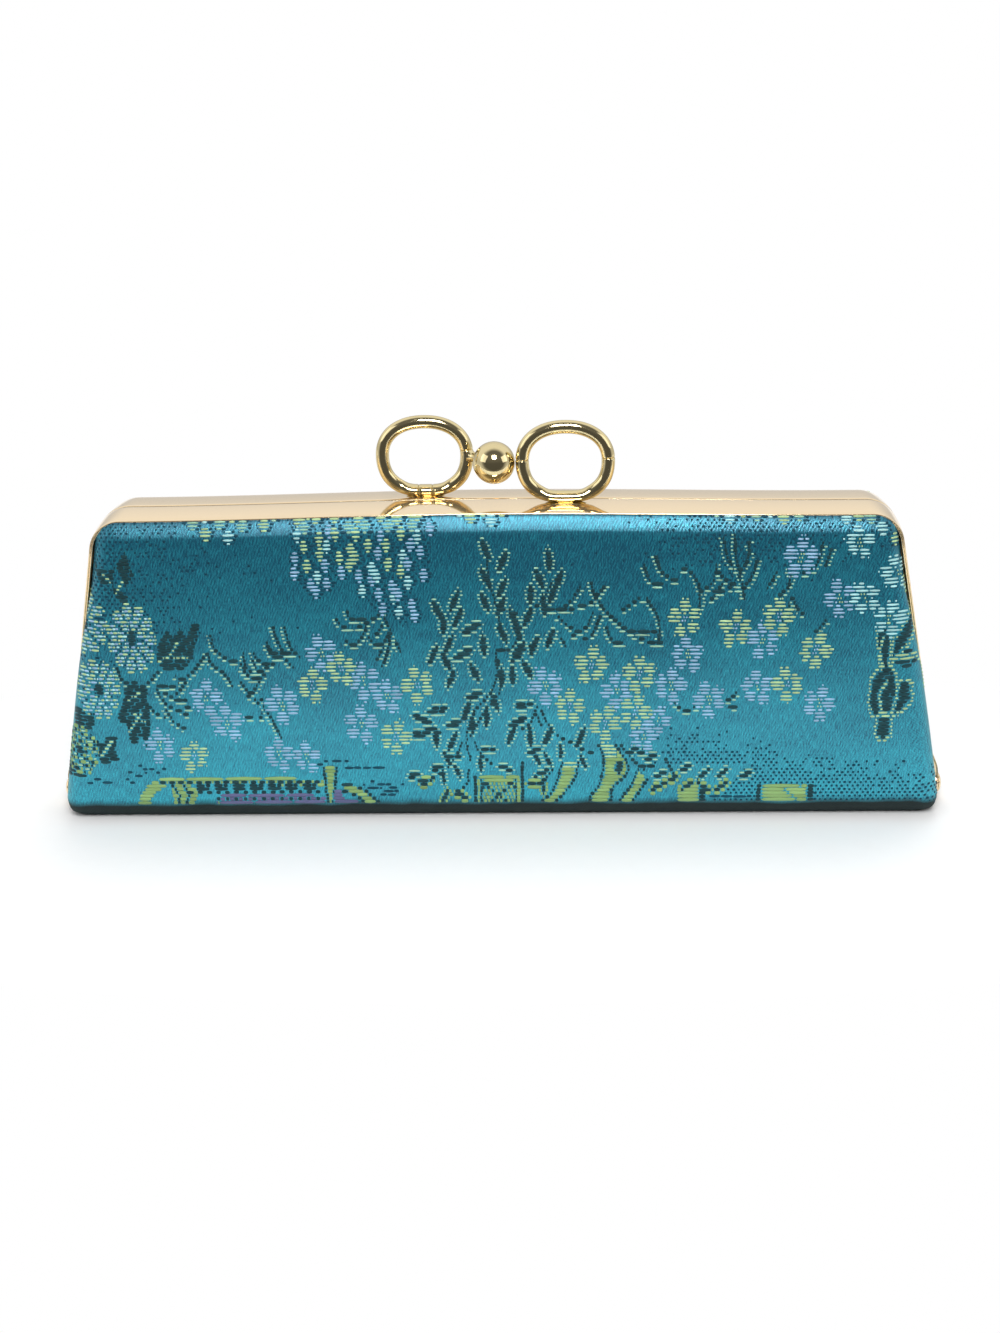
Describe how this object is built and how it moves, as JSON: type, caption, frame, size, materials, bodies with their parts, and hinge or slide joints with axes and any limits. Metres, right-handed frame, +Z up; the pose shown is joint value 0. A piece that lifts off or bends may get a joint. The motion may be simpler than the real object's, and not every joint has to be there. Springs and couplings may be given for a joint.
{
  "type": "glasses case",
  "caption": "Hard hinged glasses case with padded brocade halves, a polished metal frame and a two-ring snap clasp.",
  "frame": {"origin": "bottom centre of the closed case, on the surface it stands on", "axes": "+X along the case, +Z up through the clasp, -Y towards the front half, which swings open that way"},
  "size_m": [0.1724, 0.0236, 0.076],
  "materials": {
    "polished_gold": "polished",
    "plated_steel": "satin",
    "brocade": "satin weave with raised pattern threads",
    "padding": "matte",
    "board": "matte",
    "lining": "satin",
    "paper_cord": "matte"
  },
  "bodies": {
    "rear_half": {"rear_frame_rim": "polished_gold", "rear_clasp_ring": "polished_gold", "clasp_ball": "polished_gold", "rear_clasp_backplate": "plated_steel", "hinge_rivet_left": "polished_gold", "hinge_rivet_right": "polished_gold", "hinge_washer_left": "plated_steel", "hinge_washer_right": "plated_steel", "rear_brocade_cover": "brocade", "rear_padding": "padding", "rear_shell_board": "board", "rear_lining": "lining", "rear_channel_cord": "paper_cord", "bottom_spine": "brocade", "spine_lining": "lining"},
    "front_half": {"front_frame_rim": "polished_gold", "front_clasp_ring": "polished_gold", "front_clasp_backplate": "plated_steel", "front_brocade_cover": "brocade", "front_padding": "padding", "front_shell_board": "board", "front_lining": "lining", "front_channel_cord": "paper_cord"}
  },
  "joints": [
    {"name": "case_open", "type": "hinge", "parent": "rear_half", "child": "front_half", "pos_m": [0, 0, 0.003], "axis": [1, 0, 0], "range_deg": [0, 90], "deforming": ["bottom_spine", "spine_lining"]}
  ]
}
